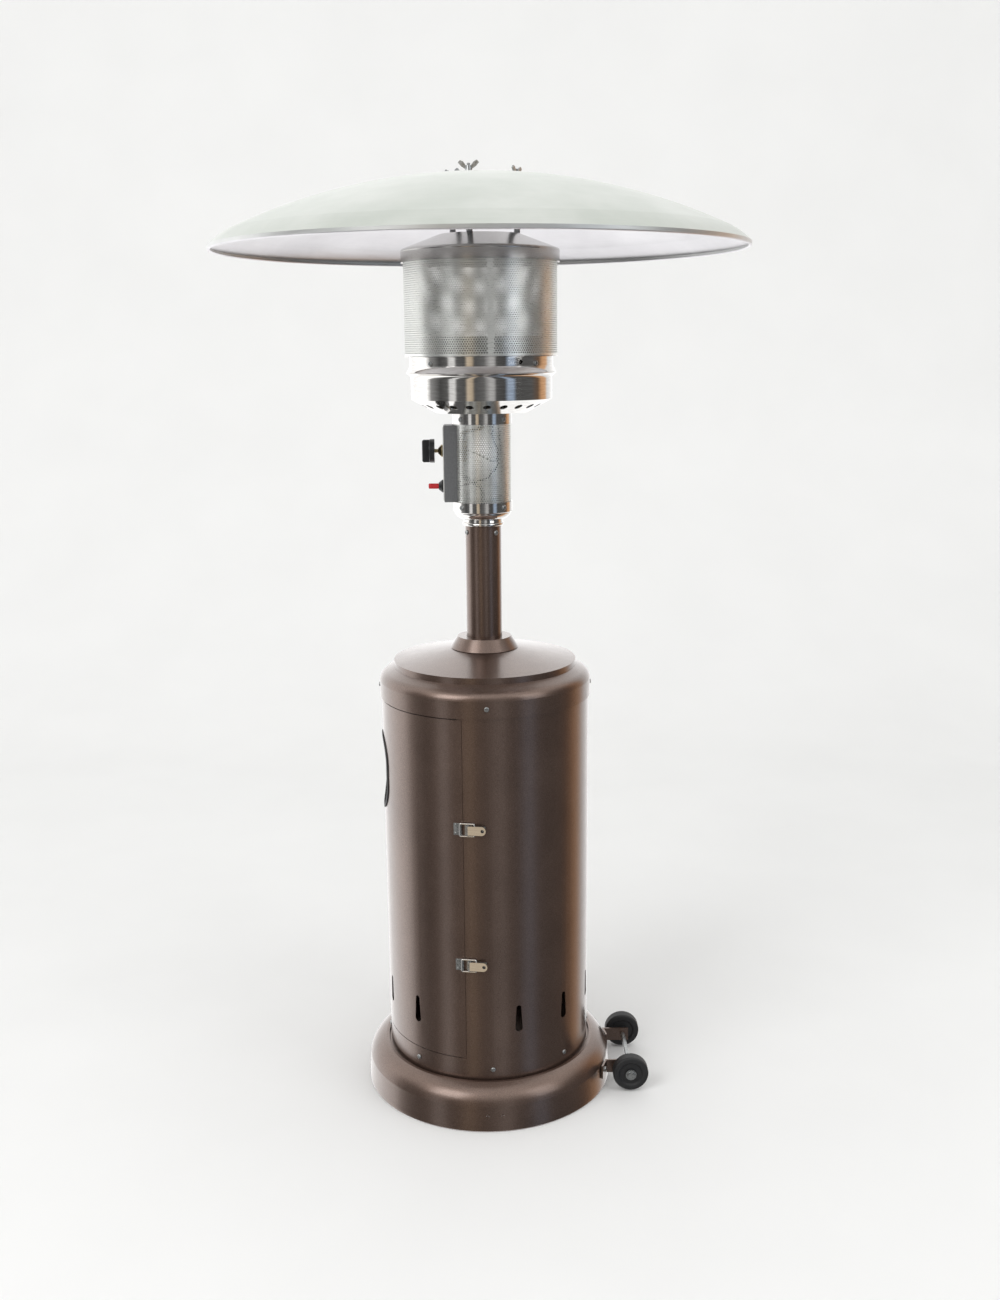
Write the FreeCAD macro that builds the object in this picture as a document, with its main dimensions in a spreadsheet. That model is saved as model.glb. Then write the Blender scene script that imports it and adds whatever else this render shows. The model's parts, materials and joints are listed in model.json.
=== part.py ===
"""Gas patio heater: steel base, tank housing with a door, pole, burner head and reflector.

Frame: origin at the middle of the base on the floor, +Z up, -Y to the user's side.
Azimuths are degrees about Z from -Y towards +X. Lengths are millimetres.
"""
import FreeCAD, Part
import math
import os
import re
import Sketcher
from FreeCAD import Placement, Rotation, Vector

SIZES = {
    # general
    "skin": 1.2, "thin": 0.8, "gap": 0.3, "screw_shank": 2.0, "screw_head": 4.2,
    # base pan
    "base_radius": 216, "base_band": 213.5, "base_band_top": 45, "base_lip": 185, "base_lip_top": 75,
    "base_hem": 6, "deck": 70, "gutter": 178.6, "base_bulge": 44, "base_hole_height": 30, "base_hole": 2.6,
    "collar_radius": 174.4, "collar_top": 104, "base_screw_height": 93,
    # housing and door
    "shell_radius": 176, "shell_top": 728, "door_top": 704, "door_bottom": 112,
    "door_from": -144.5, "door_to": -12.4, "door_gap": 1.2,
    "hand_hole_height": 575, "hand_hole_azimuth": -86, "hand_hole_width": 92, "hand_hole_length": 128,
    "slot_low": 158, "slot_high": 207, "slot_low_radius": 6.6, "slot_high_radius": 4.2,
    "slot_azimuth": 16.6, "slot_step": 30,
    # door hinges
    "hinge_radius": 180.6, "hinge_azimuth": -146.4, "hinge_pin": 2.5, "knuckle": 4.2, "knuckle_length": 22,
    "leaf_length": 20, "hinge_low": 180, "hinge_high": 610,
    # latches, in a frame on the shell with X along the surface and -Y outwards
    "latch_azimuth": -8.5, "latch_low": 283, "latch_high": 520,
    "latch_pivot": -4, "latch_pivot_out": 4.4, "bail_pivot": 6.5, "bail_pivot_out": 3.6,
    "bail_reach": -17.5, "bail_wire": 1.2, "bail_half": 10.6, "lever_half": 7.6, "lever_tip": 25.5,
    "latch_pin": 1.1, "strike_azimuth": -15.9,
    # uprights and pole foot
    "upright_radius": 6, "upright_place": 163, "upright_top": 736, "upright_first": 1.5, "upright_step": 100,
    "plate_radius": 171, "plate": 3, "plate_hole": 20, "bolt_radius": 3, "bolt_depth": 12,
    "pole_radius": 30, "pole_wall": 1.5, "pole_top": 993, "pole_flange": 54, "pole_flange_thick": 4,
    "pole_bolt_place": 42,
    # lid
    "lid_radius": 178.8, "lid_bottom": 706, "lid_shoulder": 734, "lid_ledge": 168, "lid_ledge_height": 749,
    "lid_step": 154, "lid_step_low": 756, "lid_step_high": 766.5, "lid_top": 785, "lid_centre": 50,
    "lid_screw_height": 722, "pole_collar_low": 57, "pole_collar_high": 45, "pole_collar_top": 805,
    # control head
    "neck_radius": 48.8, "cover_radius": 46.9, "spigot_bottom": 960, "rib_bottom": 993, "rib_top": 999,
    "rib_radius": 33.5, "funnel_top": 1016, "control_bottom": 1033, "control_top": 1160, "neck_top": 1178,
    "pole_screw_height": 982,
    # control panel, on the -X side
    "panel_face": 63, "panel_back": 41, "panel_low": 1032, "panel_high": 1158, "panel_half": 22.5,
    "bezel_plate": 1.5, "knob_height": 1116, "knob_radius": 19.4, "knob_near": 78.6, "knob_far": 99.2,
    "spindle": 3, "fitting_radius": 10, "fitting_out": 72.5, "igniter_height": 1058, "igniter_bezel": 10.5,
    "bezel_out": 72.6, "button_radius": 4.5, "button_out": 89.5,
    # burner bowl
    "bowl_radius": 114.8, "bowl_low": 1200, "bowl_flat": 75, "bowl_flat_height": 1178.4,
    "ridge_radius": 122, "ridge": 1242, "band_radius": 116.5, "band_top": 1267.2, "seat_radius": 124,
    "vent_place": 95, "vent_radius": 6.3, "vents": 22, "vent_first": 4.9, "band_screw_height": 1257,
    # burner
    "tube_radius": 14, "drum_radius": 100, "pilot_place": 107.5, "drum_low": 1262, "drum_high": 1298,
    "drum_crown": 1306,
    # emitter and cap
    "screen_radius": 123.5, "screen_low": 1268.6, "screen_high": 1426, "cap_radius": 127.2, "cap_low": 1414,
    "cap_band": 1434, "cap_top_radius": 66, "cap_top": 1457,
    # reflector and its studs
    "dome_apex": 1548, "dome_curve": 940, "dome_break": 398, "dome_rim": 427.6, "rim_height": 1438,
    "rim_curve": 120, "dome_skin": 1.4, "dome_hole": 2.7,
    "stud_place": 62, "stud_radius": 2.5, "stud_bottom": 1450, "stud_top": 1558, "stud_first": -15,
    "spacer_radius": 5, "wing_span": 16.5, "wing_height": 16,
    # transport wheels, on the +X side
    "wheel_x": 248, "wheel_y": -8, "wheel_z": 34, "wheel_radius": 31, "wheel_width": 22, "wheel_track": 156,
    "axle": 4, "arm_track": 114, "arm_thick": 3, "arm_half": 12, "hub_bore": 4.06,
}

doc = FreeCAD.newDocument("patio_heater")
sheet = doc.addObject("Spreadsheet::Sheet", "sizes")
for row, (alias, value) in enumerate(SIZES.items(), start=1):
    sheet.set(f"A{row}", alias)
    sheet.set(f"B{row}", str(value))
    sheet.setAlias(f"B{row}", alias)
doc.recompute()

nodes = []


def cell(expression):
    """An expression in sheet aliases, written the way the document reads it."""
    return re.sub(r"[a-z][a-z_]*", lambda word: "sizes." + word[0] if word[0] in SIZES else word[0],
                  str(expression))


def number(expression):
    """The value of an expression in sheet aliases."""
    return float(sheet.evalExpression(cell(expression)))


# ---------------------------------------------------------------- drawing helpers

def origin_feature(body, role):
    return next(feature for feature in body.Origin.OriginFeatures if feature.Role == role)


def body_named(label):
    body = doc.addObject("PartDesign::Body", label)
    body.Label = label
    nodes.append(body)
    return body


def sketch_on(body, role, turn=0, lift="0"):
    """A sketch on one of the body's origin planes, turned about the plane's upright and lifted off it."""
    sketch = body.newObject("Sketcher::SketchObject", body.Label + "_sketch")
    sketch.AttachmentSupport = [(origin_feature(body, role), "")]
    sketch.MapMode = "FlatFace"
    sketch.AttachmentOffset = Placement(Vector(), Rotation(Vector(0, 1, 0), turn))
    if lift != "0":
        sketch.setExpression("AttachmentOffset.Base.z", cell(lift))
    return sketch


def pin_point(sketch, edge, end, x, y):
    """Ties an edge's end to a place given by two expressions."""
    for axis, name, value in ((-2, "DistanceX", x), (-1, "DistanceY", y)):
        if str(value) == "0":
            sketch.addConstraint(Sketcher.Constraint("PointOnObject", edge, end, axis))
        else:
            index = sketch.addConstraint(Sketcher.Constraint(name, -1, 1, edge, end, number(value)))
            sketch.setExpression(f"Constraints[{index}]", cell(value))


def arc_centre(a, b, radius):
    """Centre of the shorter arc from a to b; a positive radius bulges to the left of the way from a to b."""
    chord = b - a
    left = Vector(-chord.y, chord.x, 0).normalize() * (1 if radius > 0 else -1)
    return (a + b) * 0.5 - left * math.sqrt(max(radius * radius - chord.Length ** 2 / 4, 0))


def outline(sketch, points):
    """Closed outline through points: (x, y) by a line, (x, y, radius) by an arc from the point before."""
    spots = [Vector(number(p[0]), number(p[1]), 0) for p in points]
    ends = []
    for i, point in enumerate(points):
        a, b = spots[i - 1], spots[i]
        if len(point) == 2:
            edge = sketch.addGeometry(Part.LineSegment(a, b))
            ends.append((edge, 1, 2))
            continue
        centre = arc_centre(a, b, number(point[2]))
        round_edge = Part.Circle(centre, Vector(0, 0, 1), abs(number(point[2])))
        edge = sketch.addGeometry(Part.ArcOfCircle(round_edge, *angles(centre, a, b, number(point[2]))))
        ends.append((edge, 2, 1) if number(point[2]) > 0 else (edge, 1, 2))
        index = sketch.addConstraint(Sketcher.Constraint("Radius", edge, abs(number(point[2]))))
        sketch.setExpression(f"Constraints[{index}]", cell(f"abs({point[2]})"))
    for i, point in enumerate(points):
        edge, _, end = ends[i]
        following, start, _ = ends[(i + 1) % len(points)]
        sketch.addConstraint(Sketcher.Constraint("Coincident", edge, end, following, start))
        pin_point(sketch, edge, end, point[0], point[1])


def angles(centre, a, b, radius):
    """Start and end angle of the arc, counter-clockwise as a sketch keeps it."""
    from_a = math.atan2(a.y - centre.y, a.x - centre.x)
    from_b = math.atan2(b.y - centre.y, b.x - centre.x)
    return (from_b, from_a) if radius > 0 else (from_a, from_b)


def revolve(body, points):
    """Turns an outline of (radius, height) points about the body's Z axis."""
    sketch = sketch_on(body, "XZ_Plane")
    outline(sketch, points)
    feature = body.newObject("PartDesign::Revolution", body.Label + "_turned")
    feature.Profile = sketch
    feature.ReferenceAxis = (sketch, ["V_Axis"])
    feature.Angle = 360
    return feature


def turned(label, points):
    body = body_named(label)
    revolve(body, points)
    return body


def wall(points, thickness):
    """Outline of sheet metal: the outer face runs through points, the metal lies to their right."""
    spots = [Vector(number(p[0]), number(p[1]), 0) for p in points]
    leaving, arriving = [None] * len(points), [None] * len(points)
    for i in range(1, len(points)):
        a, b = spots[i - 1], spots[i]
        way = (b - a).normalize()
        leaving[i - 1] = arriving[i] = way
        if len(points[i]) == 3:
            bend = math.degrees(math.asin((b - a).Length / 2 / number(points[i][2])))
            leaving[i - 1] = Rotation(Vector(0, 0, 1), bend).multVec(way)
            arriving[i] = Rotation(Vector(0, 0, 1), -bend).multVec(way)
    inner = []
    for i, point in enumerate(points):
        before, after = arriving[i] or leaving[i], leaving[i] or arriving[i]
        right = [Vector(way.y, -way.x, 0) for way in (before, after)]
        mitre = (right[0] + right[1]) * (1 / (1 + right[0].dot(right[1])))
        on_axis = str(point[0]) == "0"
        inner.append(("0" if on_axis else shift(point[0], mitre.x, thickness),
                      shift(point[1], mitre.y, thickness)))
    back = []
    for i in range(len(points) - 1, -1, -1):
        curved = i + 1 < len(points) and len(points[i + 1]) == 3
        back.append(inner[i] + ((f"-({points[i + 1][2]}) + {thickness}",) if curved else ()))
    return list(points) + back


def shift(place, amount, thickness):
    if abs(amount) < 1e-6:
        return place
    return f"{place} + {amount:.5f} * {thickness}"


def pad(body, sketch, length, both=False, reversed_way=False):
    feature = body.newObject("PartDesign::Pad", body.Label + "_pad")
    feature.Profile = sketch
    feature.setExpression("Length", cell(length))
    feature.Midplane = both
    feature.Reversed = reversed_way
    return feature


def pocket(body, sketch, length, reversed_way=False):
    """Cuts a pocket and makes sure that it removed metal."""
    doc.recompute()
    before = body.Shape.Volume
    feature = body.newObject("PartDesign::Pocket", body.Label + "_pocket")
    feature.Profile = sketch
    feature.setExpression("Length", cell(length))
    feature.Reversed = reversed_way
    doc.recompute()
    if not body.Shape.Volume < before - 1e-3:
        raise RuntimeError("a pocket cut nothing in " + body.Label)
    return feature


def circle(sketch, x, y, radius):
    place = Vector(number(x), number(y), 0)
    edge = sketch.addGeometry(Part.Circle(place, Vector(0, 0, 1), number(radius)))
    index = sketch.addConstraint(Sketcher.Constraint("Radius", edge, number(radius)))
    sketch.setExpression(f"Constraints[{index}]", cell(radius))
    pin_point(sketch, edge, 3, x, y)
    return edge


def around(body, feature, count, angle=360):
    """Repeats a feature about the body's Z axis; angle spans the copies when it isn't a full turn."""
    pattern = body.newObject("PartDesign::PolarPattern", body.Label + "_pattern")
    pattern.Originals = [feature]
    pattern.Axis = (origin_feature(body, "Z_Axis"), [""])
    pattern.Angle = angle
    pattern.Occurrences = count
    body.Tip = pattern
    return pattern


def radial_hole(body, height, radius, azimuth, reach, count=1):
    """A hole through the body's wall towards an azimuth, repeated evenly round the axis."""
    sketch = sketch_on(body, "XZ_Plane", azimuth)
    circle(sketch, "0", height, radius)
    feature = pocket(body, sketch, reach, reversed_way=True)
    if count > 1:
        around(body, feature, count)
    return feature


def sector(label, points, azimuth_from, azimuth_to):
    """An outline of (radius, height) points turned only between two azimuths."""
    body = body_named(label)
    sketch = sketch_on(body, "XZ_Plane", number(azimuth_from) - 90)
    outline(sketch, points)
    feature = body.newObject("PartDesign::Revolution", label + "_turned")
    feature.Profile = sketch
    feature.ReferenceAxis = (sketch, ["V_Axis"])
    feature.setExpression("Angle", cell(f"({azimuth_to}) - ({azimuth_from})"))
    return body


def plan(body, points, low, high):
    """Pads an outline drawn in plan (looking down) between two heights."""
    sketch = sketch_on(body, "XY_Plane", lift=low)
    outline(sketch, points)
    return pad(body, sketch, f"({high}) - ({low})")


def plan_disc(body, x, y, radius, low, high):
    sketch = sketch_on(body, "XY_Plane", lift=low)
    circle(sketch, x, y, radius)
    return pad(body, sketch, f"({high}) - ({low})")


def plan_hole(body, x, y, radius, low, high):
    sketch = sketch_on(body, "XY_Plane", lift=high)
    circle(sketch, x, y, radius)
    return pocket(body, sketch, f"({high}) - ({low})")


def rectangle(left, right, back, front):
    return [(left, back), (right, back), (right, front), (left, front)]


def place(body, azimuth=0, x="0", y="0", z="0", tilt=None):
    """Turns a body to an azimuth, after an optional tilt, and lifts it to its place."""
    turn = Rotation(Vector(0, 0, 1), number(azimuth))
    body.Placement = Placement(Vector(), turn.multiply(tilt) if tilt else turn)
    for axis, value in zip("xyz", (x, y, z)):
        if value != "0":
            body.setExpression("Placement.Base." + axis, cell(value))
    return body


def shaped(label, shape):
    """A node whose shape is made with Part's own functions."""
    feature = doc.addObject("Part::Feature", label)
    feature.Shape = shape
    feature.Label = label
    nodes.append(feature)
    return feature


def at_azimuth(azimuth, radius, height):
    angle = math.radians(azimuth)
    return Vector(radius * math.sin(angle), -radius * math.cos(angle), height)


def wire(points, radius, bend):
    """A round wire or tube through points, its corners rounded by tangent arcs."""
    edges, start = [], points[0]
    for before, corner, after in zip(points, points[1:], points[2:]):
        into, out = (corner - before).normalize(), (after - corner).normalize()
        half_turn = into.getAngle(out) / 2
        cut = bend * math.tan(half_turn)
        a, b = corner - into * cut, corner + out * cut
        inward = (out - into).normalize()
        middle = corner + inward * (bend / math.cos(half_turn) - bend)
        edges += [Part.makeLine(start, a), Part.Arc(a, middle, b).toShape()]
        start = b
    edges.append(Part.makeLine(start, points[-1]))
    path = Part.Wire(edges)
    way = (points[1] - points[0]).normalize()
    profile = Part.Wire([Part.makeCircle(radius, points[0], way)])
    return path.makePipeShell([profile], True, False)


def screw(base, way, shank_length, head, drive=True):
    """A pan-head screw whose head stands on base along way and whose shank runs back from it."""
    height = head * 0.55
    dome = Part.makeCylinder(head, height, base, way)
    top = [edge for edge in dome.Edges if edge.Vertexes[0].Point.distanceToPlane(base + way * height,
                                                                                 way) > -1e-6]
    dome = dome.makeFillet(height * 0.75, [edge for edge in top if len(edge.Vertexes) == 1])
    if drive:
        slot = Part.makeBox(head * 1.1, head * 0.28, height * 0.4)
        slot.translate(Vector(-head * 0.55, -head * 0.14, 0))
        cross = slot.fuse(slot.rotated(Vector(), Vector(0, 0, 1), 90))
        cross.Placement = Placement(base + way * height * 0.72, Rotation(Vector(0, 0, 1), way))
        dome = dome.cut(cross)
    if shank_length:
        dome = dome.fuse(Part.makeCylinder(number("screw_shank"), shank_length, base - way * shank_length,
                                           way))
    return dome.removeSplitter()


def ring_of_screws(azimuths, radius, height, shank_length):
    return [screw(at_azimuth(azimuth, radius, height), at_azimuth(azimuth, 1, 0), shank_length,
                  number("screw_head")) for azimuth in azimuths]


def bolt(base, way, shank_radius, shank_length, across):
    """A hexagon-head bolt; its head stands on base along way."""
    corners = [Vector(across / math.sqrt(3) * math.cos(math.radians(60 * k)),
                      across / math.sqrt(3) * math.sin(math.radians(60 * k)), 0) for k in range(7)]
    head = Part.Face(Part.makePolygon(corners)).extrude(Vector(0, 0, across * 0.45))
    head.Placement = Placement(base, Rotation(Vector(0, 0, 1), way))
    return head.fuse(Part.makeCylinder(shank_radius, shank_length, base - way * shank_length, way))


# ---------------------------------------------------------------- base and frame

LID_SCREWS = [0.6 + 90 * k for k in range(4)]
BASE_SCREWS = [2 + 45 * k for k in range(8)]
UPRIGHTS = [number("upright_first") + number("upright_step") * k for k in range(3)]
POLE_BOLTS = [60 + 120 * k for k in range(3)]
POLE_SCREWS = [-64, 44, 170]
COLLAR_SCREWS = [-45 + 90 * k for k in range(4)]
BAND_SCREWS = [-43 + 90 * k for k in range(4)]
STUDS = [number("stud_first") + 120 * k for k in range(3)]
ARMS = {"front": ("wheel_y - arm_track / 2", 69.4), "rear": ("wheel_y + arm_track / 2", 100.1)}
UP, DOWN = Vector(0, 0, 1), Vector(0, 0, -1)


def polar(radius, azimuth):
    """Plan coordinates of a place at an azimuth, as expressions."""
    return f"({radius}) * sin({azimuth})", f"-({radius}) * cos({azimuth})"


def base_pan():
    """Spun pan: deck, gutter for the housing, sloping skirt and a rolled rim that stands on the floor."""
    body = turned("base_pan", wall([
        ("0", "deck"), ("gutter", "deck"), ("gutter + 1.5", "base_lip_top"), ("base_lip", "base_lip_top"),
        ("base_band", "base_band_top", "base_bulge"), ("base_radius", "base_hem"), ("base_radius", "2"),
        ("base_radius - 1.5", "0"), ("base_radius - 5", "0"), ("base_radius - 6.5", "1.5"),
        ("base_radius - 6.5", "5")], "skin"))
    for azimuth in (-1, 5.6):
        radial_hole(body, "base_hole_height", "base_hole", azimuth, "base_radius + 10")
    for y, azimuth in ARMS.values():
        radial_hole(body, "wheel_z", "screw_shank + 0.1", azimuth, "base_radius + 10")
    for azimuth in UPRIGHTS:
        plan_hole(body, *polar("upright_place", azimuth), "bolt_radius + 0.1", "deck - 5", "deck + 5")


def base_collar():
    """Ring on the deck that the housing slips over and is screwed to."""
    body = turned("base_collar", [
        ("collar_radius - skin", "deck"), ("collar_radius", "deck"), ("collar_radius", "collar_top"),
        ("collar_radius - skin", "collar_top")])
    radial_hole(body, "base_screw_height", "screw_shank", BASE_SCREWS[0], "collar_radius + 10", 8)


def uprights():
    rods = []
    for azimuth in UPRIGHTS:
        foot = at_azimuth(azimuth, number("upright_place"), number("deck"))
        length = number("upright_top - deck")
        rod = Part.makeCylinder(number("upright_radius"), length, foot)
        for end, way in ((foot, UP), (foot + UP * length, DOWN)):
            rod = rod.cut(Part.makeCylinder(number("bolt_radius"), number("bolt_depth"), end, way))
        rods.append(rod)
    shaped("uprights", Part.makeCompound(rods))


def pole_plate():
    body = body_named("pole_plate")
    plan_disc(body, "0", "0", "plate_radius", "upright_top", "upright_top + plate")
    plan_hole(body, "0", "0", "plate_hole", "upright_top", "upright_top + plate")
    for place_radius, azimuths in (("upright_place", UPRIGHTS), ("pole_bolt_place", POLE_BOLTS)):
        for azimuth in azimuths:
            plan_hole(body, *polar(place_radius, azimuth), "bolt_radius + 0.1", "upright_top",
                      "upright_top + plate")


def pole():
    body = turned("pole", [
        ("pole_radius - pole_wall", "upright_top + plate"), ("pole_flange", "upright_top + plate"),
        ("pole_flange", "upright_top + plate + pole_flange_thick"),
        ("pole_radius", "upright_top + plate + pole_flange_thick"), ("pole_radius", "pole_top"),
        ("pole_radius - pole_wall", "pole_top")])
    for azimuth in POLE_BOLTS:
        plan_hole(body, *polar("pole_bolt_place", azimuth), "bolt_radius + 0.1", "upright_top + plate",
                  "upright_top + plate + pole_flange_thick")
    for azimuth in POLE_SCREWS:
        radial_hole(body, "pole_screw_height", "screw_shank", azimuth, "pole_radius + 5")


def frame_bolts():
    solids = []
    radius, depth = number("bolt_radius"), number("bolt_depth")
    for azimuth in UPRIGHTS:
        spot = at_azimuth(azimuth, number("upright_place"), 0)
        solids.append(bolt(spot + UP * number("upright_top + plate"), UP, radius, number("plate") + depth,
                           10))
        solids.append(bolt(spot + UP * number("deck - skin"), DOWN, radius, number("skin") + depth, 10))
    for azimuth in POLE_BOLTS:
        seat = at_azimuth(azimuth, number("pole_bolt_place"),
                          number("upright_top + plate + pole_flange_thick"))
        solids.append(bolt(seat, UP, radius, 14, 10))
        nut = bolt(seat - UP * number("plate + pole_flange_thick"), DOWN, radius, 0.5, 10)
        solids[-1] = solids[-1].fuse(nut).removeSplitter()
    for y, azimuth in ARMS.values():
        seat = at_azimuth(azimuth, number("base_radius - 1 + arm_thick"), number("wheel_z"))
        solids.append(screw(seat, at_azimuth(azimuth, 1, 0), 8, 5))
    shaped("frame_bolts", Part.makeCompound(solids))


# ---------------------------------------------------------------- housing, door and lid

def vent_slot(body, azimuth, count):
    """Teardrop air slots, wider at the bottom, one every slot_step degrees."""
    sketch = sketch_on(body, "XZ_Plane", azimuth)
    low, high = "slot_low + slot_low_radius", "slot_high - slot_high_radius"
    outline(sketch, [
        ("-slot_low_radius", low), ("slot_low_radius", low, "-slot_low_radius * 1.01"),
        ("slot_high_radius", high), ("-slot_high_radius", high, "-slot_high_radius * 1.01")])
    cut = pocket(body, sketch, "shell_radius + 10", reversed_way=True)
    around(body, cut, count, number("slot_step") * (count - 1))


def housing_shell():
    """Tank housing of bent sheet with a window for the door; it stands in the gutter of the base."""
    body = turned("housing_shell", [
        ("shell_radius - skin", "deck + 0.4"), ("shell_radius", "deck + 0.4"), ("shell_radius", "shell_top"),
        ("shell_radius - skin", "shell_top")])
    doc.recompute()
    sketch = sketch_on(body, "XZ_Plane", number("door_from") - 90)
    outline(sketch, rectangle("shell_radius - 10", "shell_radius + 10", "door_bottom", "door_top"))
    window = body.newObject("PartDesign::Groove", "housing_window")
    window.Profile = sketch
    window.ReferenceAxis = (sketch, ["V_Axis"])
    window.setExpression("Angle", cell("door_to - door_from"))
    vent_slot(body, number("slot_azimuth"), 7)
    radial_hole(body, "lid_screw_height", "screw_shank", LID_SCREWS[0], "shell_radius + 10", 4)
    radial_hole(body, "base_screw_height", "screw_shank", BASE_SCREWS[0], "shell_radius + 10", 8)


def door_jamb():
    """Strip inside the housing that the closed door rests against."""
    sector("door_jamb", rectangle("shell_radius - skin * 2 - 0.3", "shell_radius - skin - 0.05",
                                  "door_bottom - 6", "door_top + 6"), "door_to - 2.5", "door_to + 4")


def tank_door():
    """Curved door with a hand-hole and four of the air slots."""
    half_gap = "door_gap / shell_radius * 57.3"
    body = sector("tank_door", rectangle("shell_radius - skin", "shell_radius", "door_bottom + door_gap",
                                         "door_top - door_gap"),
                  "door_from + " + half_gap, "door_to - " + half_gap)
    sketch = sketch_on(body, "XZ_Plane", number("hand_hole_azimuth"))
    oval(sketch, "0")
    pocket(body, sketch, "shell_radius + 10", reversed_way=True)
    vent_slot(body, number("slot_azimuth - 5 * slot_step"), 4)
    doc.recompute()
    return body


def oval(sketch, grow):
    """The hand-hole's outline: straight sides with round ends, grown outwards by an amount."""
    half = f"hand_hole_width / 2 + {grow}"
    reach = "hand_hole_length / 2 - hand_hole_width / 2"
    low, high = f"hand_hole_height - ({reach})", f"hand_hole_height + {reach}"
    outline(sketch, [(f"-({half})", low), (half, low, f"-({half}) * 1.0001"), (half, high),
                     (f"-({half})", high, f"-({half}) * 1.0001")])


def oval_prism(grow):
    """The hand-hole's outline as a solid that runs outwards from the axis, for cutting the trim."""
    half = number("hand_hole_width") / 2 + grow
    reach = number("hand_hole_length - hand_hole_width") / 2
    block = Part.makeBox(2 * half, 300, 2 * reach, Vector(-half, -300, number("hand_hole_height") - reach))
    for side in (-1, 1):
        end = Vector(0, 0, number("hand_hole_height") + side * reach)
        block = block.fuse(Part.makeCylinder(half, 300, end, Vector(0, -1, 0)))
    return block


def ring_between(inner, outer):
    return Part.makeCylinder(outer, 900).cut(Part.makeCylinder(inner, 900))


def hand_hole_trim(door):
    """Soft U-shaped edging pushed over the rim of the hand-hole; its groove is the door's own sheet."""
    outside = number("shell_radius")
    edging = ring_between(outside - 3, outside + 1.8).common(oval_prism(3.5).cut(oval_prism(-2.5)))
    edging.rotate(Vector(), UP, number("hand_hole_azimuth"))
    shaped("hand_hole_trim", edging.cut(door.Shape))


def hinge_leaves(label, side):
    """Two leaves with knuckles round the hinge pin; side 1 lies on the door, -1 on the shell."""
    solids = []
    pin_at = Vector(0, -number("hinge_radius"), 0)
    outer, length = number("knuckle"), number("knuckle_length")
    flat = Part.makeBox(number("leaf_length"), 1.5, length, Vector(0, -number("shell_radius") - 1.6, 0))
    for height in (number("hinge_low"), number("hinge_high")):
        lift = pin_at + UP * height
        if side > 0:
            leaf = flat.translated(UP * height).fuse(Part.makeCylinder(outer, length, lift))
        else:
            back = Part.makeBox(number("leaf_length"), 1.5, length + 18,
                                Vector(-number("leaf_length"), -number("shell_radius") - 1.6, height - 9))
            knuckles = Part.makeCylinder(outer, length + 18, lift - UP * 9)
            clear = Part.makeCylinder(outer + 0.4, length + 0.6, lift - UP * 0.3)
            leaf = back.fuse(knuckles).cut(clear)
        bore = number("hinge_pin") + (0.05 if side > 0 else 0)
        solids.append(leaf.cut(Part.makeCylinder(bore, length + 40, lift - UP * 20)).removeSplitter())
    leaves = shaped(label, Part.makeCompound(solids))
    leaves.Placement = Placement(Vector(), Rotation(UP, number("hinge_azimuth")))


def pivot_pins():
    """Pins of the two door hinges and of the two latch levers."""
    pins = []
    length = number("knuckle_length") + 18
    hinge = at_azimuth(number("hinge_azimuth"), number("hinge_radius"), 0)
    for height in (number("hinge_low"), number("hinge_high")):
        pin = Part.makeCylinder(number("hinge_pin"), length, hinge + UP * (height - 9))
        cap = Part.makeCylinder(number("hinge_pin") + 1.2, 1.6, hinge + UP * (height - 9 + length))
        pins.append(pin.fuse(cap))
    for height in (number("latch_low"), number("latch_high")):
        pin = Part.makeCylinder(number("latch_pin"), 18,
                                latch_point("latch_pivot", "latch_pivot_out", height - 9))
        pins.append(pin)
    shaped("pivot_pins", Part.makeCompound(pins))


def latch_point(along, out, height):
    """A place beside a latch: along the surface, out from it, and a height."""
    local = Vector(number(along), -number("shell_radius") - number(out), height)
    return Rotation(UP, number("latch_azimuth")).multVec(local)


def outwards(points):
    """Latch outlines are given as (along, out); the frame has -Y outwards."""
    return [(x, f"-shell_radius - ({out})") for x, out in points]


def latch_base(body_label, level):
    body = body_named(body_label)
    strip = [("-9.5", "0.1"), ("24", "0.1"), ("24", "1.3"), ("-9.5", "1.3")]
    plan(body, outwards(strip), f"{level} - 6", f"{level} + 6")
    foot = [("-9.5", "0.1"), ("2.5", "0.1"), ("2.5", "1.3"), ("-9.5", "1.3")]
    plan(body, outwards(foot), f"{level} - 8.9", f"{level} + 8.9")
    for low, high in (("-8.9", "-7.9"), ("7.9", "8.9")):
        ear = [("latch_pivot - 2.8", "0.6"), ("latch_pivot + 2.8", "0.6"),
               ("latch_pivot + 2.8", "latch_pivot_out"),
               ("latch_pivot - 2.8", "latch_pivot_out")]
        plan(body, outwards(ear), f"{level} + ({low})", f"{level} + ({high})")
        plan_disc(body, "latch_pivot", "-shell_radius - latch_pivot_out", "2.8", f"{level} + ({low})",
                  f"{level} + ({high})")
    plan_hole(body, "latch_pivot", "-shell_radius - latch_pivot_out", "latch_pin", f"{level} - 9",
              f"{level} + 9")
    place(body, "latch_azimuth")


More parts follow.
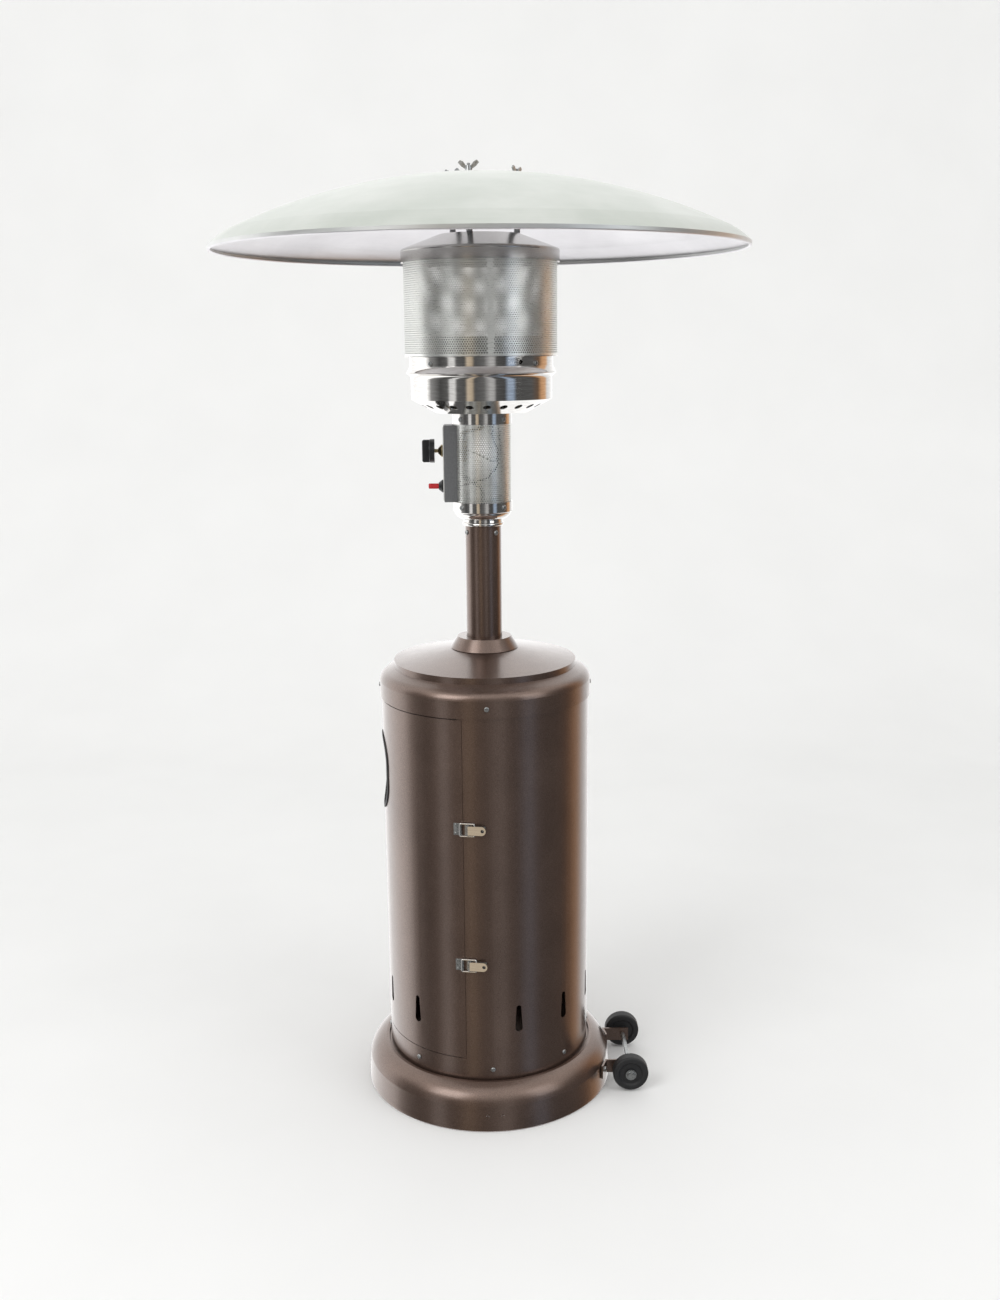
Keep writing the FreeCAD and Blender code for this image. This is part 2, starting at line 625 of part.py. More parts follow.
def latch_lever(body_label, level):
    """Lever plate with a round tip and a padlock hole, and two cheeks that carry the pin and the bail."""
    body = body_named(body_label)
    top = [("latch_pivot", "6"), ("lever_tip", "6"), ("lever_tip", "7.2"), ("latch_pivot", "7.2")]
    plate = plan(body, outwards(top), f"{level} - lever_half", f"{level} + lever_half")
    doc.recompute()
    corners = [name for name, edge in edge_names(plate.Shape)
               if edge.BoundBox.XMin > number("lever_tip") - 0.01 and edge.BoundBox.YLength > 0.5]
    rounding = body.newObject("PartDesign::Fillet", body_label + "_tip")
    rounding.Base = (plate, corners)
    rounding.setExpression("Radius", cell("lever_half - 0.2"))
    for low, high in (("-lever_half", "-lever_half + 1.1"), ("lever_half - 1.1", "lever_half")):
        cheek = [("latch_pivot", "2.2"), ("bail_pivot + 3", "2.2"), ("bail_pivot + 3", "6.1"),
                 ("latch_pivot", "6.1")]
        plan(body, outwards(cheek), f"{level} + ({low})", f"{level} + ({high})")
        plan_disc(body, "latch_pivot", "-shell_radius - latch_pivot_out", "2.6", f"{level} + ({low})",
                  f"{level} + ({high})")
    for x, out, radius in (("latch_pivot", "latch_pivot_out", "latch_pin + 0.06"),
                           ("bail_pivot", "bail_pivot_out", "bail_wire + 0.06")):
        plan_hole(body, x, f"-shell_radius - {out}", radius, f"{level} - 9", f"{level} + 9")
    sketch = sketch_on(body, "XZ_Plane")
    circle(sketch, "20", level, "2.9")
    pocket(body, sketch, "shell_radius + 20", reversed_way=True)
    place(body, "latch_azimuth")


def edge_names(shape):
    return [(f"Edge{i}", edge) for i, edge in enumerate(shape.Edges, start=1)]


def latch_bail(label, level):
    """Wire loop: two arms that hook into the lever's cheeks and a bar that catches behind the strike."""
    height, half = number(level), number("bail_half")
    stub = number("lever_half") - 2.6
    path = [latch_point("bail_pivot", "bail_pivot_out", height + stub),
            latch_point("bail_pivot", "bail_pivot_out", height + half),
            latch_point("bail_reach", "bail_pivot_out", height + half),
            latch_point("bail_reach", "bail_pivot_out", height - half),
            latch_point("bail_pivot", "bail_pivot_out", height - half),
            latch_point("bail_pivot", "bail_pivot_out", height - stub)]
    shaped(label, wire(path, number("bail_wire"), 1.9))


def latch_strikes():
    """Riveted plates on the door, each with an upstanding tab that the bail's bar pulls on."""
    solids = []
    face = -number("shell_radius") - 0.1
    for height in (number("latch_low"), number("latch_high")):
        plate = Part.makeBox(14, 1.2, 20, Vector(-5.5, face - 1.2, height - 10))
        tab = Part.makeBox(1.2, 4.7, 16, Vector(7.3, face - 4.7, height - 8))
        solids.append(plate.fuse(tab).removeSplitter())
        solids += [screw(Vector(-2, face - 1.2, height + lift), Vector(0, -1, 0), 0, 2.2, drive=False)
                   for lift in (-7, 7)]
    strikes = shaped("latch_strikes", Part.makeCompound(solids))
    strikes.Placement = Placement(Vector(), Rotation(UP, number("strike_azimuth")))


def latch_rivets():
    """Domed rivet heads on the latch bases."""
    turn = Rotation(UP, number("latch_azimuth"))
    heads = []
    for height in (number("latch_low"), number("latch_high")):
        for along in (20, 2.6):
            spot = turn.multVec(Vector(along, -number("shell_radius") - 1.3, height))
            heads.append(screw(spot, turn.multVec(Vector(0, -1, 0)), 0, 2.2, drive=False))
    shaped("latch_rivets", Part.makeCompound(heads))


def lid():
    """Spun lid: gently coned top, a step, a round shoulder and a skirt over the housing."""
    body = turned("lid", wall([
        ("lid_centre", "lid_top + 1.2"), ("lid_step", "lid_step_high"), ("lid_step", "lid_step_low"),
        ("lid_ledge", "lid_ledge_height"), ("lid_radius", "lid_shoulder", "20"),
        ("lid_radius", "lid_bottom")],
        "skin"))
    radial_hole(body, "lid_screw_height", "screw_shank", LID_SCREWS[0], "lid_radius + 10", 4)


def pole_collar():
    turned("pole_collar", wall([
        ("pole_radius + gap", "pole_collar_top"), ("pole_collar_high", "pole_collar_top"),
        ("pole_collar_low", "lid_top + 0.8")], "skin"))


def housing_screws():
    screws = ring_of_screws(LID_SCREWS, number("lid_radius"), number("lid_screw_height"), 7)
    screws += ring_of_screws(BASE_SCREWS, number("shell_radius"), number("base_screw_height"), 6)
    shaped("housing_screws", Part.makeCompound(screws))


# ---------------------------------------------------------------- control head

TO_PANEL = Rotation(Vector(0, 0, 1), Vector(-1, 0, 0))


def facing_panel(label, points, height):
    """A piece turned about an axis that runs out of the control panel (-X) at a height."""
    body = turned(label, points)
    place(body, 0, z=height, tilt=TO_PANEL)
    return body


def control_base():
    """Bell-shaped casting: a spigot inside the pole, a rib on its rim and a cup for the perforated cover."""
    body = turned("control_base", [
        ("pole_radius - pole_wall - 1.3", "spigot_bottom"), ("pole_radius - pole_wall", "spigot_bottom"),
        ("pole_radius - pole_wall", "rib_bottom"), ("rib_radius - 1", "rib_bottom"),
        ("rib_radius - 1", "rib_top", "-3.2"), ("rib_radius - 1.6", "rib_top + 4"),
        ("neck_radius - 2", "funnel_top - 2", "-22"), ("neck_radius", "funnel_top + 1", "4"),
        ("neck_radius", "control_bottom"), ("neck_radius - 1.5", "control_bottom"),
        ("neck_radius - 1.5", "funnel_top + 2"), ("pole_radius - pole_wall - 1.3", "rib_top + 4")])
    radial_hole(body, "funnel_top + 9", "screw_shank", COLLAR_SCREWS[0], "neck_radius + 5", 4)
    for azimuth in POLE_SCREWS:
        radial_hole(body, "pole_screw_height", "screw_shank", azimuth, "pole_radius + 5")


def control_cover():
    """Perforated steel tube round the controls, open behind the panel (its perforations are left plain)."""
    body = turned("control_cover", rectangle("cover_radius - thin", "cover_radius", "funnel_top + 2.5",
                                             "neck_top - 3"))
    sketch = sketch_on(body, "XZ_Plane", -90)
    outline(sketch, rectangle("-panel_half + 3", "panel_half - 3", "panel_low + 5", "panel_high - 5"))
    pocket(body, sketch, "cover_radius + 5", reversed_way=True)
    for height, azimuth in (("funnel_top + 9", COLLAR_SCREWS[0]), ("neck_top - 10", COLLAR_SCREWS[0])):
        radial_hole(body, height, "screw_shank", azimuth, "neck_radius + 5", 4)


def control_panel():
    """Folded box on the user's left that carries the gas valve and the igniter."""
    body = body_named("control_panel")
    plan(body, rectangle("-panel_face", "-panel_back", "-panel_half", "panel_half"), "panel_low + 1.5",
         "panel_high")
    sketch = sketch_on(body, "XY_Plane", lift="panel_high - skin")
    outline(sketch, rectangle("-panel_face + skin", "-panel_back + 20", "-panel_half + skin",
                              "panel_half - skin"))
    pocket(body, sketch, "panel_high - panel_low - 1.5 - 2 * skin")
    plan_hole(body, "0", "0", "cover_radius + 0.15", "panel_low", "panel_high + 1")
    for height, radius in (("knob_height", "spindle + 2"), ("igniter_height", "button_radius + 2")):
        panel_hole(body, height, radius)


def panel_hole(body, height, radius):
    sketch = sketch_on(body, "YZ_Plane")
    circle(sketch, "0", height, radius)
    doc.recompute()
    before = body.Shape.Volume
    feature = body.newObject("PartDesign::Pocket", body.Label + "_bore")
    feature.Profile = sketch
    feature.Length = 100
    doc.recompute()
    if body.Shape.Volume > before - 1e-3:
        feature.Reversed = True
        doc.recompute()
    if body.Shape.Volume > before - 1e-3:
        raise RuntimeError("no hole in " + body.Label)


def panel_plate():
    body = body_named("panel_plate")
    plan(body, rectangle("-panel_face - bezel_plate", "-panel_face", "-panel_half + 2", "panel_half - 2"),
         "panel_low + 4", "panel_high - 3")
    for height, radius in (("knob_height", "spindle + 2"), ("igniter_height", "button_radius + 2")):
        panel_hole(body, height, radius)


def controls():
    face = "panel_face + bezel_plate"
    facing_panel("valve_fitting", [
        ("spindle + 0.1", face), ("fitting_radius", face), ("fitting_radius", face + " + 3"),
        ("spindle + 1.6", "fitting_out"), ("spindle + 0.1", "fitting_out")], "knob_height")
    facing_panel("valve_spindle", rectangle("0", "spindle", "50", "knob_near + 7.8"), "knob_height")
    knob()
    facing_panel("igniter_bezel", [
        ("button_radius + 0.1", face), ("igniter_bezel", face), ("igniter_bezel", face + " + 2.5"),
        ("button_radius + 1.4", "bezel_out"), ("button_radius + 0.1", "bezel_out")], "igniter_height")
    facing_panel("igniter_button", [
        ("0", "55"), ("button_radius", "55"), ("button_radius", "button_out - 1"),
        ("button_radius - 1", "button_out", "1"), ("0", "button_out")], "igniter_height")
    facing_panel("igniter_body", [
        ("0", "36"), ("9", "36"), ("9", "panel_face - skin - 0.2"),
        ("button_radius + 0.1", "panel_face - skin - 0.2"),
        ("button_radius + 0.1", "48"), ("0", "48")], "igniter_height")
    body = body_named("valve_body")
    plan(body, rectangle("-panel_face + skin + 0.2", "-26", "-13", "13"), "knob_height - 18",
         "knob_height + 16")
    sketch = sketch_on(body, "YZ_Plane", lift="-44")
    circle(sketch, "0", "knob_height", "spindle + 0.1")
    pocket(body, sketch, "40", reversed_way=False)


def knob():
    """Round skirt with a grip bar across it and a blind bore for the spindle."""
    radius = "knob_radius"
    body = facing_panel("control_knob", [
        ("spindle + 0.05", "knob_near"), (radius, "knob_near"), (radius, "knob_near + 7.5"),
        (f"{radius} - 1.5", "knob_near + 9", "1.5"), ("0", "knob_near + 9"), ("0", "knob_near + 8"),
        ("spindle + 0.05", "knob_near + 8")], "knob_height")
    sketch = sketch_on(body, "XY_Plane", lift="knob_near + 8.5")
    outline(sketch, rectangle("-knob_radius + 1.2", "knob_radius - 1.2", "-5.5", "5.5"))
    grip = pad(body, sketch, "knob_far - knob_near - 8.5")
    doc.recompute()
    far = number("knob_far")
    rim = [name for name, edge in edge_names(grip.Shape) if edge.BoundBox.ZMin > far - 0.01]
    rounding = body.newObject("PartDesign::Fillet", "knob_grip_round")
    rounding.Base = (grip, rim)
    rounding.Radius = 3.6


def neck_collar():
    """Cap ring between the perforated cover and the bowl, turned in at the top."""
    body = turned("neck_collar", wall([
        ("neck_radius - 7", "neck_top"), ("neck_radius", "neck_top"),
        ("neck_radius", "control_top")], "skin"))
    radial_hole(body, "neck_top - 10", "screw_shank", COLLAR_SCREWS[0], "neck_radius + 5", 4)


def head_screws():
    screws = ring_of_screws(COLLAR_SCREWS, number("neck_radius"), number("neck_top - 10"), 4)
    screws += ring_of_screws(COLLAR_SCREWS, number("neck_radius"), number("funnel_top + 9"), 4)
    screws += ring_of_screws(BAND_SCREWS, number("band_radius"), number("band_screw_height"), 5)
    screws += ring_of_screws(POLE_SCREWS, number("pole_radius"), number("pole_screw_height"), 4)
    shaped("head_screws", Part.makeCompound(screws))


def gas_line():
    """Steel pipe from the inlet under the pole plate up the pole to the valve, and the jet above it."""
    valve = Vector(-36, 0, number("knob_height") - 18)
    foot = number("upright_top") - 18
    shaped("gas_pipe", wire([Vector(0, 0, foot), Vector(0, 0, valve.z - 44), Vector(-36, 0, valve.z - 22),
                             valve],
                            4, 14))
    turned("gas_inlet", [
        ("0", "upright_top - 36"), ("7.9", "upright_top - 36"), ("7.9", "upright_top - 22"),
        ("12", "upright_top - 22"), ("12", "upright_top - 12"), ("4", "upright_top - 12"),
        ("4", "upright_top - 18"),
        ("0", "upright_top - 18")])
    outlet = Vector(-36, 0, number("knob_height") + 16)
    jet = wire([outlet, outlet + UP * 12, Vector(0, 0, outlet.z + 20), Vector(0, 0, outlet.z + 32)], 3, 5)
    nozzle = Part.makeCylinder(7, 10, Vector(0, 0, outlet.z + 31))
    shaped("gas_jet", jet.fuse(nozzle).removeSplitter())


# ---------------------------------------------------------------- burner

PILOT = {"pilot_tube": 24, "ignition_lead": 32, "thermocouple": 40}


def burner():
    turned("burner_tube", [
        ("tube_radius - 1.2", "neck_top - 3"), ("tube_radius", "neck_top - 3"),
        ("tube_radius", "bowl_flat_height + 1.2"),
        ("32", "bowl_flat_height + 1.2"), ("32", "bowl_flat_height + 3"),
        ("tube_radius", "bowl_flat_height + 3"),
        ("tube_radius", "drum_low + 8"), ("tube_radius - 1.2", "drum_low + 8")])
    turned("burner_drum", wall([
        ("0", "drum_crown"), ("drum_radius", "drum_high"), ("drum_radius", "drum_low"),
        ("tube_radius", "drum_low")], "skin"))
    body = turned("burner_bowl", wall([
        ("ridge_radius", "ridge - 0.6"), ("bowl_radius + 4", "ridge - 2.5"),
        ("bowl_radius", "ridge - 8", "-8"),
        ("bowl_radius", "bowl_low"), ("bowl_flat", "bowl_flat_height"), ("28", "bowl_flat_height")], "thin"))
    sketch = sketch_on(body, "XY_Plane", lift="bowl_low + 5")
    circle(sketch, *polar("vent_place", number("vent_first")), "vent_radius")
    cut = pocket(body, sketch, "30")
    around(body, cut, int(number("vents")))
    doc.recompute()
    for azimuth in PILOT.values():
        plan_hole(body, *polar("38", azimuth), "3", "bowl_flat_height - 5", "bowl_flat_height + 8")
    band = turned("bowl_band", wall([
        ("seat_radius", "band_top"), ("band_radius", "band_top"), ("band_radius", "ridge + 11"),
        ("ridge_radius", "ridge + 0.6", "-24")], "thin"))
    radial_hole(band, "band_screw_height", "screw_shank", BAND_SCREWS[0], "band_radius + 10", 4)
    radial_hole(band, "band_screw_height + 2", "3.5", PILOT["ignition_lead"], "band_radius + 10")


def pilot():
    """Pilot flame, its spark electrode and its thermocouple, on a shelf inside the bowl."""
    shelf = number("ridge") - 10
    inner = number("bowl_radius") - number("thin")
    arc = Part.makeCylinder(inner, 1.5, Vector(0, 0, shelf), UP, 30)
    arc = arc.cut(Part.makeCylinder(number("drum_radius") + 3, 1.5, Vector(0, 0, shelf)))
    arc.rotate(Vector(), UP, -90 + 17)
    spots = {name: at_azimuth(azimuth, number("pilot_place"), shelf + 1.5) for name, azimuth in PILOT.items()}
    nozzle = Part.makeCylinder(3.6, 15, spots["pilot_tube"]).fuse(Part.makeCylinder(2.6, 18,
                                                                                    spots["pilot_tube"]))
    shaped("pilot_burner", Part.makeCompound([arc, nozzle.removeSplitter()]))
    starts = {
        "pilot_tube": [Vector(-30, -8, number("knob_height") + 16), Vector(-30, -8, 1142),
                       Vector(-8, -20, 1152)],
        "ignition_lead": [Vector(-36, 0, number("igniter_height")),
                          Vector(-22, -4, number("igniter_height") + 4),
                          Vector(8, -20, 1072), Vector(25, -27, 1092), Vector(25, -25, 1118),
                          Vector(16, -26, 1142)],
        "thermocouple": [Vector(-26, 8, number("knob_height")), Vector(-10, 14, number("knob_height") - 6),
                         Vector(18, 6, 1096), Vector(30, -8, 1112), Vector(28, -20, 1140)],
    }
    thickness = {"pilot_tube": 1.6, "ignition_lead": 1.4, "thermocouple": 1.1}
    for name, azimuth in PILOT.items():
        through = at_azimuth(azimuth, 38, number("bowl_flat_height"))
        end = spots[name] - UP * 1.5
        route = starts[name] + [through - UP * 8, through + UP * 12, end - UP * 26, end]
        lead = wire(route, thickness[name], 5)
        if name == "pilot_tube":
            shaped(name, lead)
            continue
        tip = Part.makeCylinder(1.8, 20, spots[name])
        shaped(name, Part.makeCompound([lead, tip]))


# ---------------------------------------------------------------- emitter, cap and reflector

def emitter():
    turned("emitter_screen", rectangle("screen_radius - thin", "screen_radius", "screen_low", "screen_high"))
    body = turned("head_cap", wall([
        ("0", "cap_top"), ("cap_top_radius", "cap_top"), ("cap_radius - 3", "cap_band + 1"),
        ("cap_radius", "cap_band - 4", "4"), ("cap_radius", "cap_low")], "thin"))
    for azimuth in STUDS:
        plan_hole(body, *polar("stud_place", azimuth), "stud_radius", "cap_top - 5", "cap_top + 2")
    turned("cap_ring", rectangle("screen_radius", "cap_radius - thin", "cap_low + 1", "cap_low + 7"))


def reflector():
    """Spun dome of light sheet with a bead rolled on its rim."""
    apex, curve = "dome_apex", "dome_curve"
    body = turned("reflector", wall([
        ("0", apex), ("dome_break", f"{apex} - {curve} + sqrt({curve} ^ 2 - dome_break ^ 2)", curve),
        ("dome_rim", "rim_height", "rim_curve"), ("dome_rim", "rim_height - 5"),
        ("dome_rim - 3", "rim_height - 7", "2.9"), ("dome_rim - 5", "rim_height - 5", "2.9")], "dome_skin"))
    for azimuth in STUDS:
        plan_hole(body, *polar("stud_place", azimuth), "dome_hole", f"{apex} - 12", f"{apex} + 2")


def studs_and_nuts():
    studs, spacers, wings = [], [], []
    radius, apex = number("stud_radius"), number("dome_apex")
    drop = number("dome_curve") - math.sqrt(number("dome_curve") ** 2 - (number("stud_place") + 6) ** 2)
    under = apex - drop - number("dome_skin") - 0.2
    over = (apex - number("dome_curve") + 0.1
            + math.sqrt(number("dome_curve") ** 2 - (number("stud_place") - 5) ** 2))
    for azimuth in STUDS:
        foot = at_azimuth(azimuth, number("stud_place"), 0)
        low, high = number("stud_bottom"), number("stud_top")
        stud = Part.makeCylinder(radius, high - low, foot + UP * low)
        nut = bolt(foot + UP * number("cap_top - thin"), DOWN, radius, 0.1, 8)
        studs.append(stud.fuse(nut).removeSplitter())
        spacer = Part.makeCylinder(number("spacer_radius"), under - number("cap_top"),
                                   foot + UP * number("cap_top"))
        spacers.append(spacer.cut(Part.makeCylinder(radius, 200, foot + UP * (number("cap_top") - 10))))
        wings.append(wing_nut(foot + UP * over, azimuth))
    shaped("reflector_studs", Part.makeCompound(studs))
    shaped("reflector_spacers", Part.makeCompound(spacers))
    shaped("wing_nuts", Part.makeCompound(wings))


def wing_nut(foot, azimuth):
    span, height = number("wing_span"), number("wing_height")
    hub = Part.makeCone(6, 4.6, 8, foot)
    wings = hub
    for side in (-1, 1):
        ear = [Vector(side * 3, 0, 1.5), Vector(side * (span - 5), 0, 7),
               Vector(side * span, 0, height - 3.5),
               Vector(side * (span - 3.5), 0, height), Vector(side * (span - 8), 0, height - 2),
               Vector(side * 3, 0, 7), Vector(side * 3, 0, 1.5)]
        flat = Part.Face(Part.makePolygon(ear)).extrude(Vector(0, 2.6, 0))
        flat.translate(Vector(0, -1.3, 0))
        flat.rotate(Vector(), UP, azimuth * 0.6)
        flat.translate(foot)
        wings = wings.fuse(flat)
    return wings.cut(Part.makeCylinder(number("stud_radius"), 40, foot - UP * 5)).removeSplitter()


# ---------------------------------------------------------------- transport wheels

ALONG_AXLE = Rotation(Vector(0, 0, 1), Vector(0, -1, 0))


def wheel(label, side):
    """Rubber-tyred wheel with a dished hub; side -1 is towards the user."""
    half, hub = "wheel_width / 2", "wheel_radius * 0.7"
    body = turned(label, [
        ("hub_bore", f"-{half}"), ("8.5", f"-{half}"), ("8.5", f"-{half} + 3"),
        (f"{hub} - 3", f"-{half} + 3"),
        (hub, f"-{half} + 0.5"), ("wheel_radius - 4", f"-{half} + 0.5"),
        ("wheel_radius", f"-{half} + 4.5", "-4.01"),
        ("wheel_radius", f"{half} - 4.5"), ("wheel_radius - 4", f"{half} - 0.5", "-4.01"),
        (hub, f"{half} - 0.5"),
        (f"{hub} - 3", f"{half} - 3"), ("8.5", f"{half} - 3"), ("8.5", half), ("hub_bore", half)])
    place(body, 0, "wheel_x", f"wheel_y + {side} * wheel_track / 2", "wheel_z", tilt=ALONG_AXLE)


def axle_and_arms():
    reach = "wheel_track / 2 + wheel_width / 2"
    axle = turned("axle", rectangle("0", "axle", f"-({reach}) - 6", f"{reach} + 6"))
    place(axle, 0, "wheel_x", "wheel_y", "wheel_z", tilt=ALONG_AXLE)
    caps = []
    for side in (-1, 1):
        seat = Vector(number("wheel_x"), number(f"wheel_y + {side} * ({reach})") + side * 0.4,
                      number("wheel_z"))
        way = Vector(0, side, 0)
        cap = Part.makeCylinder(9.5, 1.6, seat, way).fuse(Part.makeCone(7.5, 6, 5.4, seat, way))
        caps.append(cap.cut(Part.makeCylinder(number("axle"), 20, seat - way * 5, way)).removeSplitter())
    shaped("axle_caps", Part.makeCompound(caps))
    arms = []
    half, thick, middle = number("arm_half"), number("arm_thick"), number("wheel_z")
    for expression, azimuth in ARMS.values():
        y = number(expression)
        bend = at_azimuth(azimuth, number("base_radius") - 1, 0)
        tangent = at_azimuth(azimuth + 90, 1, 0)
        flange = Part.makeBox(26, thick, 2 * half,
                              Vector(-13, -number("base_radius") + 1 - thick, middle - half))
        flange.rotate(Vector(), UP, azimuth)
        inner = bend.x + tangent.x * (y - bend.y) / tangent.y + 0.4
        plate = Part.makeBox(number("wheel_x") + 10 - inner, thick, 2 * half,
                             Vector(inner, y - thick / 2, middle - half))
        flange = flange.common(Part.makeBox(400, 400, 200, Vector(0, y + thick / 2 - 400, 0)))
        arm = flange.fuse(plate)
        arm = arm.cut(Part.makeCylinder(number("axle") + 0.02, 20, Vector(number("wheel_x"), y - 10, middle),
                                        Vector(0, 1, 0)))
        hole = at_azimuth(azimuth, 200, middle)
        arms.append(arm.cut(Part.makeCylinder(number("screw_shank"), 40, hole,
                                              at_azimuth(azimuth, 1, 0))).removeSplitter())
    shaped("wheel_arms", Part.makeCompound(arms))


# ---------------------------------------------------------------- build, check and write

def build():
    base_pan()
    base_collar()
    uprights()
    pole_plate()
    pole()
    frame_bolts()
    housing_shell()
    door_jamb()
    hand_hole_trim(tank_door())
    hinge_leaves("hinge_leaves_door", 1)
    hinge_leaves("hinge_leaves_shell", -1)
    pivot_pins()
    for name, level in (("lower", "latch_low"), ("upper", "latch_high")):
        latch_base("latch_base_" + name, level)
        latch_lever("latch_lever_" + name, level)
        latch_bail("latch_bail_" + name, level)
    latch_strikes()
    latch_rivets()
    lid()
    pole_collar()
    housing_screws()
    control_base()
    control_cover()
    control_panel()
    panel_plate()
    controls()
    neck_collar()
    head_screws()
    gas_line()
    burner()
    pilot()
    emitter()
    reflector()
    studs_and_nuts()
    wheel("wheel_front", -1)
    wheel("wheel_rear", 1)
    axle_and_arms()
    doc.recompute()


def check():
    faults = [item.Name for item in doc.Objects if {"Invalid", "Error"} & set(item.State)]
    for node in nodes:
        if node.Shape.isNull() or not node.Shape.isValid() or not node.Shape.Solids:
            faults.append(node.Label)
    if faults:
        raise RuntimeError("not sound: " + ", ".join(faults))


def write():
    os.makedirs("parts", exist_ok=True)
    for node in nodes:
        node.Shape.exportStep(f"parts/{node.Label}.step")


build()
check()
write()
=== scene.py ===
"""Patio heater: the pierced sheet metal, the finishes, the studio and the camera."""
import json
import math

import bpy
import numpy as np
from mathutils import Matrix, Vector


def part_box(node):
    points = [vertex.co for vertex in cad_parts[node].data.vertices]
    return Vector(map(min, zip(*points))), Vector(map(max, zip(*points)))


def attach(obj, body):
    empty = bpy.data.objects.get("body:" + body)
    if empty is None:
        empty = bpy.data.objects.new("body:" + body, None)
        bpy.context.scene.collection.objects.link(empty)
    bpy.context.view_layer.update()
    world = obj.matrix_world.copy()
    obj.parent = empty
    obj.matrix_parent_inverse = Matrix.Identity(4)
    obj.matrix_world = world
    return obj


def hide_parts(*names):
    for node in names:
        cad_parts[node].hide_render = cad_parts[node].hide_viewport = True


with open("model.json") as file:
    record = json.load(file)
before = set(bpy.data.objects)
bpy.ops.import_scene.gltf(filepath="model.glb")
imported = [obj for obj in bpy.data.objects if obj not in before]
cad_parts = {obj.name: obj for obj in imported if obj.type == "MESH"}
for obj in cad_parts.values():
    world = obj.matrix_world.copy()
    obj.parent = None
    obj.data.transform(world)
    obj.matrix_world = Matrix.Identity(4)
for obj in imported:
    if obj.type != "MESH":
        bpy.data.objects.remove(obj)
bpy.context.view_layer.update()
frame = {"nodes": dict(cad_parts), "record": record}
NODES = frame["nodes"]


# ---------------------------------------------------------------- sheet metal

MARGIN_ROWS = 1.0                                     # plain metal at each end, in rows
HOLE_CORNERS = (0, 1, 1, 2, 3, 4, 4, 5)               # the brick corner that each hole edge meets
CORNER_JOINS = ((0, 1), (1, 3), (2, 4), (3, 5), (4, 7), (5, 0))    # brick side, and the hole corner it meets


def mesh_object(name, points, triangles, smooth=True):
    """A mesh from an array of points and an array of corner numbers, at the origin."""
    mesh = bpy.data.meshes.new(name)
    mesh.from_pydata(points.tolist(), [], triangles.tolist())
    mesh.polygons.foreach_set("use_smooth", np.full(len(triangles), smooth))
    mesh.update()
    piece = bpy.data.objects.new(name, mesh)
    bpy.context.scene.collection.objects.link(piece)
    return piece


def lattice(columns, rows, pitch, hole, bottom, top, pierced, present):
    """Flat pierced sheet, as points (u, v) and triangles facing +w.

    Row j holds a hole at u = (i + 1/2 + (j mod 2)/2) pitch for every i, and v rises by an
    equal step per row. The metal around a hole is the brick whose six corners lie at half
    pitches on the lines below and above it. The hole is the circle centre + hole/2 (cos a,
    sin a) in eight steps. u closes on itself after the last column.
    """
    step = (top - bottom) / (rows + 2 * MARGIN_ROWS)
    low = bottom + MARGIN_ROWS * step
    heights = np.concatenate(([bottom], low + step * np.arange(rows + 1), [top]))
    across = np.arange(2 * columns) * pitch / 2
    corners = np.stack(np.broadcast_arrays(across, heights[:, None]), axis=-1).reshape(-1, 2)

    def corner(line, k):
        return line * 2 * columns + k % (2 * columns)

    row, column = (a.ravel() for a in np.meshgrid(np.arange(rows), np.arange(columns), indexing="ij"))
    first = 2 * column + row % 2
    centres = np.column_stack(((first + 1) * pitch / 2, low + (row + 0.5) * step))
    kept = present(centres[:, 0], centres[:, 1])
    row, first, centres = row[kept], first[kept], centres[kept]
    ring = np.stack([corner(row + 2, first + 2), corner(row + 2, first + 1), corner(row + 2, first),
                     corner(row + 1, first), corner(row + 1, first + 1), corner(row + 1, first + 2)], axis=1)

    holed = pierced(centres[:, 0], centres[:, 1])
    plain = ring[~holed]
    filled = np.concatenate([plain[:, [0, k, k + 1]] for k in range(1, 5)])

    ring, centres = ring[holed], centres[holed]
    angle = np.arange(8) * np.pi / 4
    circle = np.column_stack((np.cos(angle), np.sin(angle))) * hole / 2
    edge_points = (centres[:, None, :] + circle).reshape(-1, 2)
    edge = len(corners) + np.arange(len(edge_points)).reshape(-1, 8)
    around = [np.stack([ring[:, b], edge[:, (e + 1) % 8], edge[:, e]], axis=1)
              for b, e in zip(HOLE_CORNERS, range(8))]
    between = [np.stack([ring[:, b], ring[:, (b + 1) % 6], edge[:, e]], axis=1)
               for b, e in CORNER_JOINS]

    k = np.arange(2 * columns)
    margins = []
    for line in (0, rows + 1):
        a, b, c, d = corner(line, k), corner(line, k + 1), corner(line + 1, k + 1), corner(line + 1, k)
        margins += [np.stack([a, b, c], axis=1), np.stack([a, c, d], axis=1)]
    return np.concatenate((corners, edge_points)), np.concatenate([filled, *around, *between, *margins])


